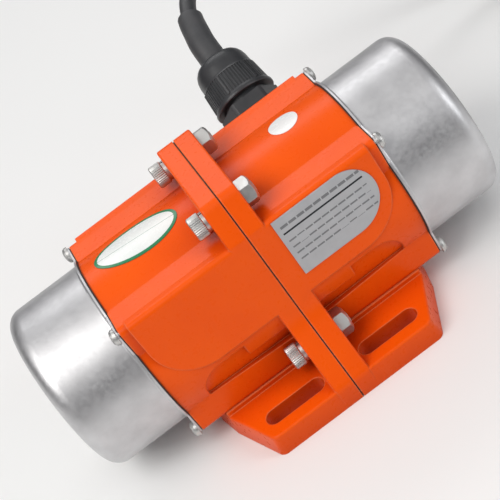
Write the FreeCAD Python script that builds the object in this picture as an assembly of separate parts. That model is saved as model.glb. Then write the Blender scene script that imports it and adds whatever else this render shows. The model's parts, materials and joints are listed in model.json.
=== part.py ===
import FreeCAD, Part
import math
import os
from FreeCAD import Placement, Rotation, Vector

# Vibration motor: two cast halves bolted together round a stator, a shaft on two ball
# bearings with a pair of eccentric weights on each end, and a pressed cover over each pair.
# Millimetres. X runs along the shaft, Z is up, and the base stands on z = 0 with the middle
# of the four foot slots at the origin. The side with the front pads faces -Y.

# Housing castings
axis_height = 52.0          # shaft axis above the base
casting_length = 68.0       # one casting, from its joint face to its end face
barrel_radius = 44.1
barrel_wall = 5.0
pad_lean = 7.5              # degrees that the side pads lean outward towards the base
pad_proud = 0.3             # how far the side pads stand out of the barrel where it is widest
pad_low = 2.0               # lower edge of the side pads below the axis
pad_setback = 4.3           # from the end of a casting to the end of its pads
pad_round = 24.0            # lower outer corner of the side pads
pad_depth_in = 10.0         # how deep the pads reach into the casting
pad_top_round = 2.5         # soft upper edge of the side pads
post_step = 0.8             # how far the posts stand back from the top of the pads
post_corner = 3.5
pocket_depth = 1.5          # shallow pocket cast under each side pad
pocket_top = 5.5            # its upper edge below the axis
pocket_shoulder = 7.5       # its step down beside the flange
pocket_shoulder_length = 20.2
pocket_setback = 13.3
pocket_round = 12.0
pocket_slope = 2.5          # how far its lower edge falls towards the flange
casting_edge = 1.0          # soft edges of the castings
overlap = 1.0               # how far pieces of one casting run into each other

# Middle flange and its bolts
flange_thickness = 9.0
flange_relief = 2.0         # underside of the flange above the base, between the feet
flange_top_round = 5.0
flange_side_round = 24.0
flange_shoulder_round = 2.5
flange_foot_round = 6.0
top_bolt_gap = 9.97         # bolt axis outside the barrel
top_bolt_angle = 62.8       # degrees up from the side
low_bolt_gap = 8.9
low_bolt_above_foot = 12.0
low_bolt_room = 1.0         # least gap between the lower screw heads and the posts
bolt_edge_above = 8.9       # flange beyond the upper bolts, upward and sideways
bolt_edge_beside = 4.3
bolt_radius = 3.0
bolt_clearance = 0.3
bolt_head_radius = 5.0
bolt_head_height = 6.0
bolt_socket_flat = 5.0
spring_washer_thickness = 1.6
spring_washer_gap = 0.8
nut_flat = 10.0
nut_height = 5.6
nut_chamfer = 0.9
bolt_stick_out = 1.2
joint_gasket_thickness = 0.6
joint_gasket_inset = 0.6

# Feet
foot_half_width = 67.8
foot_thickness = 12.0
foot_root = 25.0            # inner edge of the foot plates from the middle
foot_root_setback = 8.3     # ends of a foot, measured from the end of its casting
foot_inner_setback = 11.3
foot_outer_setback = 23.3
foot_draft = 1.4
foot_corner = 4.0
slot_edge = 12.0            # middle of a slot from the outer edge of its foot
slot_from_flange = 16.9     # middle of a slot from the face of the flange
slot_length = 32.0
slot_width = 9.0

# End covers and their screws
cover_inset = 0.7           # side of the cover inside the line of the barrel
cover_flange_lip = 1.2      # cover flange outside the line of the barrel
cover_sheet = 1.0
cover_edge = 8.0
cover_root = 1.2            # bend between the cover and its flange
cover_end_gap = 6.3         # from the end of the shaft to the inside of the cover
cover_gasket_thickness = 0.5
cover_gasket_inset = 0.4
screw_gap = 2.8             # between a screw head and the side of the cover
screw_edge = 3.0            # from a screw axis to the side of its post
cover_screw_radius = 2.0
cover_screw_length = 12.0
cover_head_radius = 4.0
cover_head_height = 3.1
recess_depth = 1.7
recess_width = 0.9
recess_length = 4.4

# Stator and rotor
stator_yoke = 7.5
stator_slots = 24
stator_slot_depth = 9.0
stator_slot_width = 3.2
winding_length = 13.0
winding_wall = 9.0
winding_inset = 2.4
winding_round = 2.0
air_gap = 0.6
end_ring_length = 6.0
end_ring_inset = 1.5

# Shaft, bearings and seals
shaft_radius = 12.0
shaft_relief = 1.5
bearing_bore = 8.5
bearing_radius = 20.0
bearing_width = 12.0
bearing_setback = 21.3      # from the end of a casting to the inner side of its bearing
bearing_shoulder = 2.0
shield_inner_gap = 4.0      # bearing shield beyond the bearing, inward and outward
shield_outer_gap = 5.0
shield_rim = 6.0            # metal round the bearing
shield_taper = 7.0
ball_radius = 3.3
ball_count = 8
ring_wall = 3.4
wave_washer_thickness = 0.8
wave_washer_width = 3.5
seal_radius = 14.0
seal_width = 3.6
weight_seat_radius = 7.5
shaft_tip = 5.3             # shaft beyond the second weight

# Eccentric weights
weight_room = 4.4           # between a weight and the inside of its cover
chamber_room = 2.5          # between a weight and the mouth of the casting
weight_thickness = 15.5
weight_setback = 1.3        # first weight inside the end of the casting
weight_gap = 1.2
weight_hub_radius = 15.0
weight_ear = 5.0            # clamp ears above the hub
weight_half_angle = 75.0
weight_edge = 1.0
clamp_slit = 2.0
clamp_screw_radius = 2.5
clamp_head_radius = 4.25
clamp_head_height = 5.0
clamp_screw_rise = 0.5
key_width = 5.0
key_height = 5.0
key_gap = 0.5
circlip_thickness = 1.2
circlip_radius = 10.5
circlip_groove = 0.8
circlip_opening = 2.2

# Cable gland and the sleeve that stiffens the cable where it leaves
gland_setback = 27.3        # gland axis from the end of the casting
gland_boss_height = 9.8     # face of the boss outside the barrel
gland_drop = 9.3            # gland axis below a line through the shaft axis
gland_tilt = 35.0           # degrees that the gland points upward
gland_boss_radius = 17.5
gland_thread_radius = 10.0
gland_thread_length = 9.0
gland_bore = 7.2
gland_hex_flat = 29.0
gland_hex_length = 7.0
gland_collar_radius = 12.2
gland_collar_length = 15.0
gland_nut_radius = 16.5
gland_nut_shoulder = 14.6
gland_nut_dome = 13.2
gland_nut_length = 26.5
gland_nut_rim = 2.0
gland_nut_gap = 2.3         # between the hexagon and the nut
gland_gasket_thickness = 1.2
gland_seal_length = 12.0
sleeve_radius = 6.75
sleeve_gap = 0.6            # between the cable and the sleeve round it
sleeve_straight = 10.0      # straight part of the sleeve outside the gland nut
sleeve_tip_offset = Vector(3.6, 57.5, 34.3)

# Cable, its put-away coil and its bare end
cable_radius = 4.3
cable_tail = 34.0
coil_radius = 44.0
coil_height = 17.2
coil_width = 18.0
coil_edge = 3.5
core_radius = 1.25
core_spread = 1.8
core_length = 30.0
ferrule_radius = 0.8
ferrule_length = 8.0

# Plate on the front pad and labels on the barrel
plate_thickness = 0.4
plate_from_flange = 2.2
plate_setback = 4.8         # end of the plate from the end of its pad
plate_drop = 1.5
plate_height = 31.2
plate_upper_round = 14.0
plate_lower_round = 17.0
label_thickness = 0.25
oval_length = 44.0
oval_width = 23.0
oval_setback = 28.6
oval_angle = 87.5           # round the barrel from +Y
oval_skew = -7.8            # degrees that the oval label is turned on the barrel
round_label_radius = 7.5
round_label_setback = 23.9
round_label_angle = 83.0

# Fits
fit = 0.03                  # between pieces that are pressed or bolted together
running = 0.3               # between pieces that turn past each other

AXIS = Vector(0, 0, axis_height)
ALONG = Vector(1, 0, 0)
UP = Vector(0, 0, 1)

# Places along the shaft
joint_face = joint_gasket_thickness / 2
casting_end = joint_face + casting_length
flange_face = joint_face + flange_thickness
pad_end = casting_end - pad_setback
cover_face = casting_end + cover_gasket_thickness
cover_outer = cover_face + cover_sheet
bearing_start = casting_end - bearing_setback
bearing_end = bearing_start + bearing_width
shield_inner = bearing_start - shield_inner_gap
shield_outer = bearing_end + shield_outer_gap
seal_start = bearing_end + wave_washer_thickness + 0.2
weight_start = casting_end - weight_setback
second_weight_start = weight_start + weight_thickness + weight_gap
second_weight_end = second_weight_start + weight_thickness
clip_start = second_weight_end + 0.2
shaft_end = second_weight_end + shaft_tip
cover_end = shaft_end + cover_end_gap + cover_sheet
winding_end = shield_inner - 4.0
stator_half = winding_end - winding_length

# Places round the shaft
lean = math.radians(pad_lean)
pad_distance = barrel_radius + pad_proud
cover_radius = barrel_radius - cover_inset
cover_flange_radius = barrel_radius + cover_flange_lip
cover_screw = (cover_radius + cover_head_radius + screw_gap) / math.sqrt(2)
post_half = cover_screw + screw_edge
pad_top = post_half + post_step
barrel_bore = barrel_radius - barrel_wall
stator_radius = barrel_bore - fit
stator_bore = stator_radius - stator_yoke - stator_slot_depth
rotor_radius = stator_bore - air_gap
weight_radius = cover_radius - cover_sheet - weight_room
chamber = weight_radius + chamber_room
ball_pitch = (bearing_bore + bearing_radius) / 2
top_bolt_y = (barrel_radius + top_bolt_gap) * math.cos(math.radians(top_bolt_angle))
top_bolt_z = (barrel_radius + top_bolt_gap) * math.sin(math.radians(top_bolt_angle))
low_bolt_z = foot_thickness + low_bolt_above_foot - axis_height
low_bolt_y = max(math.sqrt((barrel_radius + low_bolt_gap) ** 2 - low_bolt_z ** 2),
                 post_half + bolt_head_radius + low_bolt_room)
wall_top = -math.sqrt(barrel_radius ** 2 - post_half ** 2)
slot_x = flange_face + slot_from_flange
slot_y = foot_half_width - slot_edge


def pad_depth(height):
    """Distance of the side pad from the middle plane, at a height above the axis."""
    return (pad_distance - height * math.sin(lean)) / math.cos(lean)


# ---------------------------------------------------------------- shapes

def rod(radius, start, end, y=0.0, z=0.0):
    """Cylinder along X, placed from the shaft axis."""
    return Part.makeCylinder(radius, end - start, AXIS + Vector(start, y, z), ALONG)


def ring(outer, inner, start, end, y=0.0, z=0.0):
    return rod(outer, start, end, y, z).cut(rod(inner, start, end, y, z))


def rounded_edges(corners):
    """Edges of a closed outline through (across, up, radius) corners in the plane x = 0."""
    places = [Vector(0, across, up) for across, up, radius in corners]
    edges, starts, ends = [], [], []
    for index, (across, up, radius) in enumerate(corners):
        here = places[index]
        before = places[index - 1] - here
        after = places[(index + 1) % len(places)] - here
        before.normalize()
        after.normalize()
        half = before.getAngle(after) / 2
        reach = radius / math.tan(half)
        starts.append(here + before * reach)
        ends.append(here + after * reach)
        if radius > 0:
            middle = before + after
            middle.normalize()
            top = here + middle * (radius / math.sin(half) - radius)
            edges.append(Part.Arc(starts[-1], top, ends[-1]).toShape())
    return edges + [Part.makeLine(ends[index - 1], starts[index]) for index in range(len(places))]


def rounded_wire(corners):
    """The same outline as a wire round the shaft axis."""
    wire = Part.Wire(Part.__sortEdges__(rounded_edges(corners)))
    wire.translate(AXIS)
    return wire


def slab(wire, start, end):
    """Plate from a closed wire at x = 0, between two places along the axis."""
    face = Part.Face(wire)
    face.translate(Vector(start, 0, 0))
    return face.extrude(Vector(end - start, 0, 0))


def side_face(corners):
    """Face through (along, up, radius) corners in the plane y = 0."""
    face = Part.Face(Part.Wire(Part.__sortEdges__(rounded_edges(corners))))
    face.rotate(Vector(0, 0, 0), UP, -90)
    return face


def box_at(start, end, y0, y1, z0, z1):
    """Box along the axis; y and z are measured from the axis."""
    return Part.makeBox(end - start, y1 - y0, z1 - z0, AXIS + Vector(start, y0, z0))


def turned(profile, origin, axis):
    """Solid of revolution of (along, radius) points about an axis."""
    points = [Vector(along, radius, 0) for along, radius in profile]
    wire = Part.makePolygon(points + points[:1])
    solid = Part.Face(wire).revolve(Vector(0, 0, 0), ALONG, 360)
    solid.Placement = Placement(origin, Rotation(ALONG, axis))
    return solid


def hexagon(flat, start, end, y=0.0, z=0.0, turn=0.0):
    """Hexagonal bar along X with two flats facing sideways when the turn is 0."""
    radius = flat / math.sqrt(3)
    angles = [math.radians(60 * corner + 30 + turn) for corner in range(7)]
    points = [AXIS + Vector(start, y + radius * math.cos(angle), z + radius * math.sin(angle))
              for angle in angles]
    return Part.Face(Part.makePolygon(points)).extrude(Vector(end - start, 0, 0))


def mirrored(shape):
    return shape.mirror(Vector(0, 0, 0), ALONG)


def fused(shapes):
    return shapes[0].multiFuse(shapes[1:]).removeSplitter()


def without(shape, cutters):
    return shape.cut(cutters[0].multiFuse(cutters[1:])) if len(cutters) > 1 else shape.cut(cutters[0])


def softened(shape, radius, wanted):
    """Round the edges that the test picks."""
    edges = [edge for edge in shape.Edges if wanted(edge.BoundBox)]
    return shape.makeFillet(radius, edges) if edges else shape


def save(name, shape):
    shape.exportStep("parts/" + name + ".step")
    print(name, len(shape.Solids), round(shape.Volume, 1), shape.isValid())


def group(shapes):
    return Part.makeCompound(shapes)


# ---------------------------------------------------------------- housing castings

def end_plate(circle, half, corner, start, end):
    """Circle and square together: the outline of the posts, the gasket and the cover flange."""
    square = rounded_wire([(-half, -half, corner), (half, -half, corner),
                           (half, half, corner), (-half, half, corner)])
    return fused([slab(square, start, end), rod(circle, start, end)])


def flange_corners(inset=0.0):
    """Half outline of the middle flange, from the base up to its top."""
    base = -axis_height
    relief = base + flange_relief
    side = foot_half_width - inset
    top = top_bolt_z + bolt_edge_above - inset
    return [(post_half, relief + inset, 0.0), (side, (relief if inset else base) + inset, 0.0),
            (side, base + foot_thickness, flange_foot_round),
            (pad_depth(wall_top / 2) - inset, wall_top / 2, flange_side_round),
            (pad_depth(pad_top) - inset, pad_top, flange_shoulder_round),
            (top_bolt_y + bolt_edge_beside - inset, top, flange_top_round)]


def flange_wire(inset=0.0):
    right = flange_corners(inset)
    left = [(-y, z, radius) for y, z, radius in reversed(right)]
    return rounded_wire(right + left)


def side_pad(side):
    """Flat pad on one side of a casting, leaning outward towards the base."""
    slope = (pad_top + pad_low) / math.cos(lean)
    face = side_face([(joint_face, 0, 0), (pad_end, 0, 0), (pad_end, -slope, pad_round),
                      (joint_face, -slope, 0)])
    pad = face.extrude(Vector(0, pad_depth_in, 0))
    pad = softened(pad, pad_top_round, lambda box: box.YMax < fit and box.ZMin > -fit)
    pad.Placement = Placement(AXIS + Vector(0, -pad_depth(pad_top), pad_top), Rotation(ALONG, -pad_lean))
    return pad if side < 0 else pad.mirror(Vector(0, 0, 0), Vector(0, 1, 0))


def pocket_cutter(side):
    """What is taken off the posts and the barrel to leave the shallow pocket under a pad."""
    shoulder = flange_face + pocket_shoulder_length
    end = casting_end - pocket_setback
    low = -pocket_top - pocket_shoulder
    face = side_face([(flange_face, wall_top - pocket_slope, 0), (end, wall_top, 0),
                      (end, -pocket_top, pocket_round), (shoulder, -pocket_top, 0),
                      (shoulder, low, 0), (flange_face, low, 0)])
    face.translate(AXIS)
    block = face.extrude(Vector(0, side * barrel_radius * 2, 0))
    return block.cut(rod(barrel_radius - pocket_depth, joint_face, casting_end))


def foot_outline(side, level, draft):
    setbacks = [(foot_root_setback, foot_root), (foot_inner_setback, post_half),
                (foot_outer_setback, foot_half_width - draft / 3)]
    points = [Vector(casting_end - setback - draft, side * y, level) for setback, y in setbacks]
    points.insert(0, Vector(joint_face, side * foot_root, level))
    points.append(Vector(joint_face, side * (foot_half_width - draft / 3), level))
    return Part.makePolygon(points + points[:1])


def foot(side):
    """Tapered foot plate on one side of a casting, with the web that carries the post."""
    plate = Part.makeLoft([foot_outline(side, 0, 0), foot_outline(side, foot_thickness, foot_draft)], True, True)
    corner_x = casting_end - foot_outer_setback
    plate = softened(plate, foot_corner, lambda box: abs(box.XMax - corner_x) < foot_draft / 2
                     and box.ZLength > overlap and abs(box.Center.y) > foot_half_width - foot_draft)
    plate = softened(plate, casting_edge, lambda box: box.ZMin > foot_thickness - fit
                     and box.XMax > joint_face + fit and abs(box.Center.y) > post_half)
    web = box_at(joint_face, casting_end - foot_inner_setback - foot_draft, foot_root, post_half,
                 -axis_height, overlap - post_half)
    return fused([plate, web if side > 0 else web.mirror(Vector(0, 0, 0), Vector(0, 1, 0))])


def slot_cutter(x, y):
    radius = slot_width / 2
    reach = slot_length / 2 - radius
    tall = foot_thickness + 2 * overlap
    pieces = [Part.makeBox(2 * reach, slot_width, tall, Vector(x - reach, y - radius, -overlap))]
    pieces += [Part.makeCylinder(radius, tall, Vector(x + end, y, -overlap)) for end in (-reach, reach)]
    return fused(pieces)


def bolt_places():
    return [(-top_bolt_y, top_bolt_z), (top_bolt_y, top_bolt_z),
            (-low_bolt_y, low_bolt_z), (low_bolt_y, low_bolt_z)]


def screw_places():
    return [(y, z) for y in (-cover_screw, cover_screw) for z in (-cover_screw, cover_screw)]


def gland_frame():
    """Where the cable leaves the casting, and the way it points."""
    tilt = math.radians(gland_tilt)
    way = Vector(0, math.cos(tilt), math.sin(tilt))
    below = Vector(0, math.sin(tilt), -math.cos(tilt))
    face = way * (barrel_radius + gland_boss_height) + below * gland_drop
    return AXIS + Vector(casting_end - gland_setback, 0, 0) + face, way


def gland_hole_depth():
    """From the face of the boss to where its hole is open into the barrel all round."""
    side = gland_drop + gland_thread_radius
    return barrel_radius + gland_boss_height - math.sqrt(barrel_bore ** 2 - side ** 2)


def casting_body():
    """The outside of the right casting, without its holes."""
    flange = slab(flange_wire(), joint_face, flange_face)
    flange = softened(flange, casting_edge, lambda box: box.XMin > flange_face - fit)
    posts = end_plate(barrel_radius, post_half, post_corner, joint_face, casting_end)
    posts = without(posts, [pocket_cutter(-1), pocket_cutter(1)])
    return fused([flange, posts, side_pad(-1), side_pad(1), foot(-1), foot(1)])


def casting_hollow():
    """Everything that is bored out of the right casting from inside."""
    rim = bearing_radius + shield_rim
    seal_seat = bearing_end + wave_washer_thickness
    cone = shield_outer - shield_outer_gap
    profile = [(0, 0), (0, barrel_bore), (winding_end, barrel_bore), (shield_inner, barrel_bore - shield_taper),
               (shield_inner, rim), (bearing_start, bearing_radius + bearing_shoulder),
               (bearing_start, bearing_radius + fit), (seal_seat, bearing_radius + fit),
               (seal_seat, seal_radius + fit), (shield_outer, seal_radius + fit),
               (shield_outer, rim - bearing_shoulder), (cone, rim), (cone, chamber - shield_outer_gap),
               (shield_outer, chamber), (casting_end + overlap, chamber), (casting_end + overlap, 0)]
    return turned(profile, AXIS, ALONG)


def casting(with_gland):
    body = casting_body()
    depth = cover_screw_length + cover_root
    cutters = [casting_hollow()]
    cutters += [rod(bolt_radius + bolt_clearance, 0, flange_face + overlap, y, z) for y, z in bolt_places()]
    cutters += [rod(cover_screw_radius + fit, casting_end - depth, casting_end + overlap, y, z)
                for y, z in screw_places()]
    cutters += [slot_cutter(slot_x, side * slot_y) for side in (-1, 1)]
    if with_gland:
        origin, axis = gland_frame()
        reach = barrel_radius + gland_boss_height
        boss = Part.makeCylinder(gland_boss_radius, reach, origin - axis * reach, axis)
        body = fused([body, boss.cut(rod(barrel_bore + overlap, joint_face, casting_end))])
        depth = gland_hole_depth()
        cutters.append(Part.makeCylinder(gland_thread_radius + fit, depth + overlap, origin - axis * depth, axis))
    return without(body, cutters)


# ---------------------------------------------------------------- flange joint and covers

def joint_gasket():
    sheet = slab(flange_wire(joint_gasket_inset), -joint_face, joint_face)
    holes = [rod(bolt_radius + bolt_clearance, -overlap, overlap, y, z) for y, z in bolt_places()]
    return without(sheet, [rod(barrel_bore, -overlap, overlap)] + holes)


def flange_screw(y, z):
    """Cap screw with a hexagon socket."""
    seat = -flange_face - spring_washer_thickness
    shank = rod(bolt_radius, seat, flange_face + nut_height + bolt_stick_out, y, z)
    shank = softened(shank, bolt_radius / 5, lambda box: box.XMin > flange_face + nut_height)
    head = rod(bolt_head_radius, seat - bolt_head_height, seat, y, z)
    head = softened(head, bolt_head_radius / 10, lambda box: box.XMax < seat - bolt_head_height + fit)
    socket = hexagon(bolt_socket_flat, seat - bolt_head_height - overlap, seat - bolt_head_height / 2, y, z)
    return fused([shank, head]).cut(socket)


def spring_washer(y, z):
    start = -flange_face - spring_washer_thickness
    washer = ring(bolt_head_radius + fit, bolt_radius + fit, start, -flange_face, y, z)
    half = spring_washer_gap / 2
    gap = box_at(start - overlap, overlap - flange_face, y - half, y + half, z, z + 2 * bolt_head_radius)
    return washer.cut(gap)


def flange_nut(y, z):
    end = flange_face + nut_height
    corner = nut_flat / math.sqrt(3)
    bevel = turned([(flange_face, 0), (flange_face, corner + overlap), (end - nut_chamfer, corner + fit),
                    (end, nut_flat / 2), (end, 0)], AXIS + Vector(0, y, z), ALONG)
    body = hexagon(nut_flat, flange_face, end, y, z).common(bevel)
    return body.cut(rod(bolt_radius + fit, 0, end + overlap, y, z))


def cover_gasket():
    inset = cover_gasket_inset
    sheet = end_plate(cover_flange_radius - inset, post_half - inset, post_corner, casting_end, cover_face)
    holes = [rod(cover_screw_radius + running, 0, cover_face + overlap, y, z) for y, z in screw_places()]
    return without(sheet, [rod(chamber, 0, cover_face + overlap)] + holes)


def cover_cup(radius, start, end, edge):
    cup = rod(radius, start, end)
    return softened(cup, edge, lambda box: box.XMin > end - fit)


def end_cover():
    """Pressed cover: a deep cup with a thin flange that follows the end of the casting."""
    sheet = end_plate(cover_flange_radius, post_half, post_corner, cover_face, cover_outer)
    body = fused([cover_cup(cover_radius, cover_face, cover_end, cover_edge), sheet])
    body = softened(body, cover_root, lambda box: box.XLength < fit and abs(box.XMin - cover_outer) < fit
                    and abs(box.YLength - 2 * cover_radius) < fit)
    inside = cover_radius - cover_sheet
    hollow = cover_cup(inside, cover_face - overlap, cover_end - cover_sheet, cover_edge - cover_sheet)
    holes = [rod(cover_screw_radius + running, cover_face - overlap, cover_outer + overlap, y, z)
             for y, z in screw_places()]
    return without(body, [hollow] + holes)


def cover_screw_at(y, z):
    """Pan head screw with a cross recess."""
    end = cover_outer - cover_screw_length
    head, rise = cover_head_radius, cover_head_height
    top = cover_outer + rise
    profile = [(end, 0), (end, cover_screw_radius * 0.75), (end + cover_screw_radius * 0.25, cover_screw_radius),
               (cover_outer, cover_screw_radius), (cover_outer, head)]
    dome = [(cover_outer + rise * share, head * width)
            for share, width in ((0.39, 1.0), (0.71, 0.875), (0.9, 0.65), (1.0, 0.3))]
    screw = turned(profile + dome + [(top, 0)], AXIS + Vector(0, y, z), ALONG)
    wide, long = recess_width / 2, recess_length / 2
    cross = [box_at(top - recess_depth, top + overlap, y - long, y + long, z - wide, z + wide),
             box_at(top - recess_depth, top + overlap, y - wide, y + wide, z - long, z + long)]
    return screw.cut(fused(cross))


# ---------------------------------------------------------------- stator and rotor

def stator_core():
    core = ring(stator_radius, stator_bore, -stator_half, stator_half)
    slots = []
    for index in range(stator_slots):
        slot = box_at(-stator_half - overlap, stator_half + overlap, stator_bore - overlap,
                      stator_bore + stator_slot_depth, -stator_slot_width / 2, stator_slot_width / 2)
        slot.rotate(AXIS, ALONG, 360 * index / stator_slots)
        slots.append(slot)
    return without(core, slots)


def end_winding():
    """Wound end turns of the stator, bulging past the core."""
    inner = stator_bore + winding_inset
    outer = inner + winding_wall
    shoulder = winding_end - winding_round
    profile = [(stator_half, inner), (stator_half, outer), (shoulder, outer), (winding_end, outer - winding_round),
               (winding_end, inner + winding_round), (shoulder, inner)]
    return turned(profile, AXIS, ALONG)


def rotor_core():
    return ring(rotor_radius, shaft_radius + fit, -stator_half, stator_half)


def rotor_end_rings():
    outer = rotor_radius - end_ring_inset
    end = ring(outer, shaft_radius + running, stator_half, stator_half + end_ring_length)
    return group([end, mirrored(end)])


def shaft():
    """Stepped shaft with key seats and a circlip groove at each end."""
    groove_end = clip_start + circlip_thickness + fit
    neck = weight_seat_radius - circlip_groove
    half = [(0, 0), (0, shaft_radius), (bearing_start - 2 * shaft_relief, shaft_radius),
            (bearing_start - 2 * shaft_relief, shaft_radius - shaft_relief),
            (bearing_start, shaft_radius - shaft_relief), (bearing_start, bearing_bore),
            (shield_outer + overlap, bearing_bore), (shield_outer + overlap, weight_seat_radius),
            (clip_start, weight_seat_radius), (clip_start, neck), (groove_end, neck),
            (groove_end, weight_seat_radius), (shaft_end - overlap, weight_seat_radius),
            (shaft_end, weight_seat_radius - overlap), (shaft_end, 0)]
    right = turned(half, AXIS, ALONG)
    width = key_width / 2 + fit
    seat = box_at(weight_start, weight_start + weight_thickness, -width, width,
                  weight_seat_radius - key_height / 2, weight_seat_radius + key_height)
    right = right.cut(seat)
    return fused([right, mirrored(right)])


def weight_key():
    return box_at(weight_start + key_gap, weight_start + weight_thickness - key_gap, -key_width / 2,
                  key_width / 2, weight_seat_radius - key_height / 2 + fit, weight_seat_radius + key_height / 2)


def circlip():
    clip = ring(circlip_radius, weight_seat_radius - circlip_groove + fit, clip_start + fit,
                clip_start + circlip_thickness)
    gap = box_at(clip_start - overlap, clip_start + 2 * circlip_thickness, -circlip_opening, circlip_opening,
                 0, circlip_radius + overlap)
    return clip.cut(gap)


def clamp_line(start):
    """Middle of the clamp screw under its head."""
    return AXIS + Vector(start + weight_thickness / 2, -weight_hub_radius * 0.6,
                         weight_hub_radius + clamp_screw_rise)


def eccentric(start, keyed):
    """Sector plate on a clamp hub, hanging down from the shaft."""
    end = start + weight_thickness
    hub = weight_hub_radius
    angle = math.radians(weight_half_angle)
    right = Vector(0, weight_radius * math.sin(angle), -weight_radius * math.cos(angle))
    left = Vector(0, -right.y, right.z)
    rise = Vector(0, 0, -right.z - clamp_slit)
    edges = [Part.Arc(right, Vector(0, 0, -weight_radius), left).toShape(), Part.makeLine(left, left + rise),
             Part.makeLine(left + rise, right + rise), Part.makeLine(right + rise, right)]
    wire = Part.Wire(edges)
    wire.translate(AXIS)
    ears = box_at(start, end, -hub * 0.6, hub * 0.6, 0, hub + weight_ear)
    plate = fused([slab(wire, start, end), rod(hub, start, end), ears])
    plate = softened(plate, weight_edge, lambda box: box.XLength < fit
                     and box.ZMin < axis_height - weight_radius + fit)
    cutters = [rod(weight_seat_radius + fit, start - overlap, end + overlap),
               box_at(start - overlap, end + overlap, -clamp_slit / 2, clamp_slit / 2, weight_seat_radius,
                      hub + weight_ear + overlap)]
    if keyed:
        cutters.append(box_at(start - overlap, end + overlap, -key_width / 2 - fit, key_width / 2 + fit, 0,
                              weight_seat_radius + key_height / 2 + fit))
    under = clamp_line(start)
    across = Vector(0, 1, 0)
    cutters.append(Part.makeCylinder(clamp_screw_radius + fit, 2 * hub, under - across * overlap, across))
    cutters.append(Part.makeCylinder(clamp_head_radius + running, hub, under - across * hub, across))
    return without(plate, cutters)


def clamp_screw(start):
    """Cap screw that closes the clamp of one weight."""
    under = clamp_line(start)
    across = Vector(0, 1, 0)
    head = Part.makeCylinder(clamp_head_radius, clamp_head_height, under - across * clamp_head_height, across)
    return fused([head, Part.makeCylinder(clamp_screw_radius, weight_hub_radius * 1.2, under, across)])


# ---------------------------------------------------------------- bearings and seals

def bearing_rings():
    """Outer and inner ring with the ball grooves turned in them."""
    centre = bearing_start + bearing_width / 2
    groove = Part.makeTorus(ball_pitch, ball_radius + running, AXIS + Vector(centre, 0, 0), ALONG)
    outer = ring(bearing_radius, bearing_radius - ring_wall, bearing_start, bearing_end).cut(groove)
    inner = ring(bearing_bore + ring_wall, bearing_bore + fit, bearing_start, bearing_end).cut(groove)
    return outer, inner


def bearing_balls():
    centre = AXIS + Vector(bearing_start + bearing_width / 2, 0, 0)
    angles = [2 * math.pi * index / ball_count for index in range(ball_count)]
    return [Part.makeSphere(ball_radius, centre + Vector(0, math.cos(angle), math.sin(angle)) * ball_pitch)
            for angle in angles]


def wave_washer():
    outer = bearing_radius - key_gap
    return ring(outer, outer - wave_washer_width, bearing_end + fit, bearing_end + wave_washer_thickness - fit)


def shaft_seal():
    """Lip seal with its case in the shield and its lip just clear of the shaft."""
    end = seal_start + seal_width
    wall = shaft_relief
    lip = bearing_bore + running
    profile = [(seal_start, seal_radius), (end, seal_radius), (end, seal_radius - wall),
               (seal_start + wall, seal_radius - wall), (seal_start + wall, lip + wall),
               (end - wall / 2, lip), (seal_start + wall / 2, lip), (seal_start, lip + wall)]
    return turned(profile, AXIS, ALONG)


# ---------------------------------------------------------------- gland and cable

def along_gland(profile):
    origin, axis = gland_frame()
    return turned(profile, origin, axis)


def on_gland(distance):
    origin, axis = gland_frame()
    return origin + axis * distance


gland_nut_start = gland_gasket_thickness + gland_hex_length + gland_nut_gap
gland_nut_end = gland_nut_start + gland_nut_length
gland_collar_end = gland_gasket_thickness + gland_hex_length + gland_collar_length
sleeve_start = gland_collar_end + overlap


def gland_gasket():
    outer = gland_boss_radius - gland_gasket_thickness
    return along_gland([(0, gland_thread_radius + fit), (0, outer), (gland_gasket_thickness, outer),
                        (gland_gasket_thickness, gland_thread_radius + fit)])


def gland_body():
    """Threaded spigot, hexagon and the collar that the nut screws onto."""
    origin, axis = gland_frame()
    seat = gland_gasket_thickness
    hex_end = seat + gland_hex_length
    tip = -gland_thread_length
    spigot = along_gland([(tip, 0), (tip, gland_thread_radius - casting_edge),
                          (tip + casting_edge, gland_thread_radius), (seat, gland_thread_radius), (seat, 0)])
    flats = hexagon(gland_hex_flat, seat, hex_end, 0, -axis_height, 30 + gland_tilt)
    flats = flats.common(rod(gland_hex_flat * 0.56, seat, hex_end, 0, -axis_height))
    flats.Placement = Placement(origin, Rotation(ALONG, axis))
    collar = along_gland([(seat, 0), (seat, gland_collar_radius), (gland_collar_end, gland_collar_radius),
                          (gland_collar_end, 0)])
    hole = Part.makeCylinder(gland_bore, gland_collar_end - tip + 2 * overlap, on_gland(tip - overlap), axis)
    return fused([spigot, flats, collar]).cut(hole)


def gland_nut():
    """Dome nut that closes on the sleeve."""
    inner = gland_collar_radius + fit
    mouth = sleeve_radius + fit
    start, end = gland_nut_start, gland_nut_end
    shoulder = start + gland_nut_length * 0.62
    profile = [(start, inner), (start, gland_nut_radius), (start + gland_nut_rim, gland_nut_radius),
               (shoulder, gland_nut_shoulder), (shoulder + 0.5, gland_nut_dome), (end - 3.0, gland_nut_dome),
               (end - 1.2, gland_nut_dome - 0.9), (end, gland_nut_dome - 2.8), (end, mouth),
               (sleeve_start + overlap, mouth), (gland_collar_end + running, inner)]
    return along_gland(profile)


def gland_seal():
    start = gland_collar_end - gland_seal_length
    return along_gland([(start, cable_radius + fit), (start, gland_bore - fit), (gland_collar_end, gland_bore - fit),
                        (gland_collar_end, cable_radius + fit)])


def cable_inner_end():
    """The cable's inner end, from the housing through the seal into the sleeve."""
    length = gland_thread_length + sleeve_start
    return Part.makeCylinder(cable_radius, length, on_gland(-gland_thread_length), gland_frame()[1])


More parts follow.
